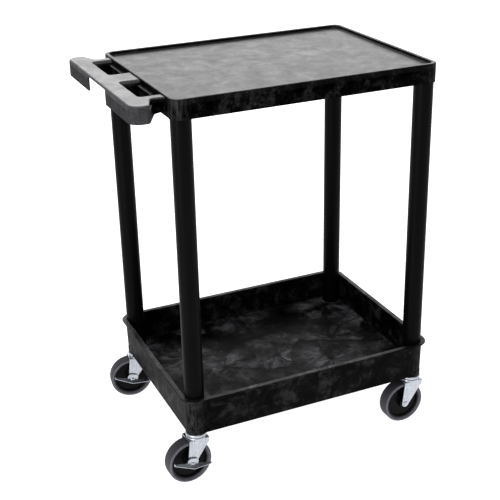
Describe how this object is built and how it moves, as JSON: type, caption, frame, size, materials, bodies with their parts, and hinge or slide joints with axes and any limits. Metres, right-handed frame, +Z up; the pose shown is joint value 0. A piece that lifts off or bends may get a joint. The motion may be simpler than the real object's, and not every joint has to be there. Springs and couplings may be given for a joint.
{
  "type": "utility cart",
  "caption": "Rolling utility cart: flat lipped top shelf with moulded push handle, deep tub shelf below, round legs, swivel casters with side brakes.",
  "frame": {"origin": "on the floor, under the middle of the cart's whole length (handle included) and width", "axes": "+Z up, +X away from the push handle along the cart's length, +Y to the left of a person facing +X"},
  "size_m": [0.6822, 0.4636, 0.867],
  "materials": {
    "black_polyethylene": "textured structural foam",
    "leg_plastic": "satin extruded",
    "plug_plastic": "satin moulded",
    "zinc_plated_steel": "bright zinc plated",
    "bearing_steel": "polished",
    "hub_plastic": "satin moulded",
    "grey_rubber": "matte non-marking tread"
  },
  "bodies": {
    "frame": {"top_shelf": "black_polyethylene", "tub_shelf": "black_polyethylene", "rear_right_leg": "leg_plastic", "rear_right_stem_plug": "plug_plastic", "rear_right_stem": "zinc_plated_steel", "rear_right_swivel_cup": "zinc_plated_steel", "rear_left_leg": "leg_plastic", "rear_left_stem_plug": "plug_plastic", "rear_left_stem": "zinc_plated_steel", "rear_left_swivel_cup": "zinc_plated_steel", "front_right_leg": "leg_plastic", "front_right_stem_plug": "plug_plastic", "front_right_stem": "zinc_plated_steel", "front_right_swivel_cup": "zinc_plated_steel", "front_left_leg": "leg_plastic", "front_left_stem_plug": "plug_plastic", "front_left_stem": "zinc_plated_steel", "front_left_swivel_cup": "zinc_plated_steel"},
    "rear_right_swivel": {"rear_right_fork": "zinc_plated_steel", "rear_right_bearing_balls": "bearing_steel", "rear_right_bushing": "bearing_steel", "rear_right_axle_bolt": "zinc_plated_steel", "rear_right_axle_nut": "zinc_plated_steel", "rear_right_brake_washer": "zinc_plated_steel"},
    "rear_right_wheel": {"rear_right_wheel_hub": "hub_plastic", "rear_right_tyre": "grey_rubber"},
    "rear_right_brake": {"rear_right_brake_pedal": "zinc_plated_steel"},
    "rear_left_swivel": {"rear_left_fork": "zinc_plated_steel", "rear_left_bearing_balls": "bearing_steel", "rear_left_bushing": "bearing_steel", "rear_left_axle_bolt": "zinc_plated_steel", "rear_left_axle_nut": "zinc_plated_steel", "rear_left_brake_washer": "zinc_plated_steel"},
    "rear_left_wheel": {"rear_left_wheel_hub": "hub_plastic", "rear_left_tyre": "grey_rubber"},
    "rear_left_brake": {"rear_left_brake_pedal": "zinc_plated_steel"},
    "front_right_swivel": {"front_right_fork": "zinc_plated_steel", "front_right_bearing_balls": "bearing_steel", "front_right_bushing": "bearing_steel", "front_right_axle_bolt": "zinc_plated_steel", "front_right_axle_nut": "zinc_plated_steel"},
    "front_right_wheel": {"front_right_wheel_hub": "hub_plastic", "front_right_tyre": "grey_rubber"},
    "front_left_swivel": {"front_left_fork": "zinc_plated_steel", "front_left_bearing_balls": "bearing_steel", "front_left_bushing": "bearing_steel", "front_left_axle_bolt": "zinc_plated_steel", "front_left_axle_nut": "zinc_plated_steel"},
    "front_left_wheel": {"front_left_wheel_hub": "hub_plastic", "front_left_tyre": "grey_rubber"}
  },
  "joints": [
    {"name": "rear_right_swivel_turn", "type": "hinge", "parent": "frame", "child": "rear_right_swivel", "pos_m": [-0.23615, -0.1963, 0.1114], "axis": [0, 0, 1], "continuous": true},
    {"name": "rear_right_wheel_spin", "type": "hinge", "parent": "rear_right_swivel", "child": "rear_right_wheel", "pos_m": [-0.25862, -0.19748, 0.0508], "axis": [-0.0523, 0.9986, 0], "continuous": true},
    {"name": "rear_right_brake_rock", "type": "hinge", "parent": "rear_right_swivel", "child": "rear_right_brake", "pos_m": [-0.25862, -0.19748, 0.0508], "axis": [-0.0523, 0.9986, 0], "range_deg": [-24, 0]},
    {"name": "rear_left_swivel_turn", "type": "hinge", "parent": "frame", "child": "rear_left_swivel", "pos_m": [-0.23615, 0.1963, 0.1114], "axis": [0, 0, 1], "continuous": true},
    {"name": "rear_left_wheel_spin", "type": "hinge", "parent": "rear_left_swivel", "child": "rear_left_wheel", "pos_m": [-0.25843, 0.19943, 0.0508], "axis": [0.1392, 0.9903, 0], "continuous": true},
    {"name": "rear_left_brake_rock", "type": "hinge", "parent": "rear_left_swivel", "child": "rear_left_brake", "pos_m": [-0.25843, 0.19943, 0.0508], "axis": [0.1392, 0.9903, 0], "range_deg": [-24, 0]},
    {"name": "front_right_swivel_turn", "type": "hinge", "parent": "frame", "child": "front_right_swivel", "pos_m": [0.30885, -0.1963, 0.1114], "axis": [0, 0, 1], "continuous": true},
    {"name": "front_right_wheel_spin", "type": "hinge", "parent": "front_right_swivel", "child": "front_right_wheel", "pos_m": [0.28635, -0.19669, 0.0508], "axis": [-0.0175, 0.9998, 0], "continuous": true},
    {"name": "front_left_swivel_turn", "type": "hinge", "parent": "frame", "child": "front_left_swivel", "pos_m": [0.30885, 0.1963, 0.1114], "axis": [0, 0, 1], "continuous": true},
    {"name": "front_left_wheel_spin", "type": "hinge", "parent": "front_left_swivel", "child": "front_left_wheel", "pos_m": [0.28641, 0.19473, 0.0508], "axis": [-0.0698, 0.9976, 0], "continuous": true}
  ]
}
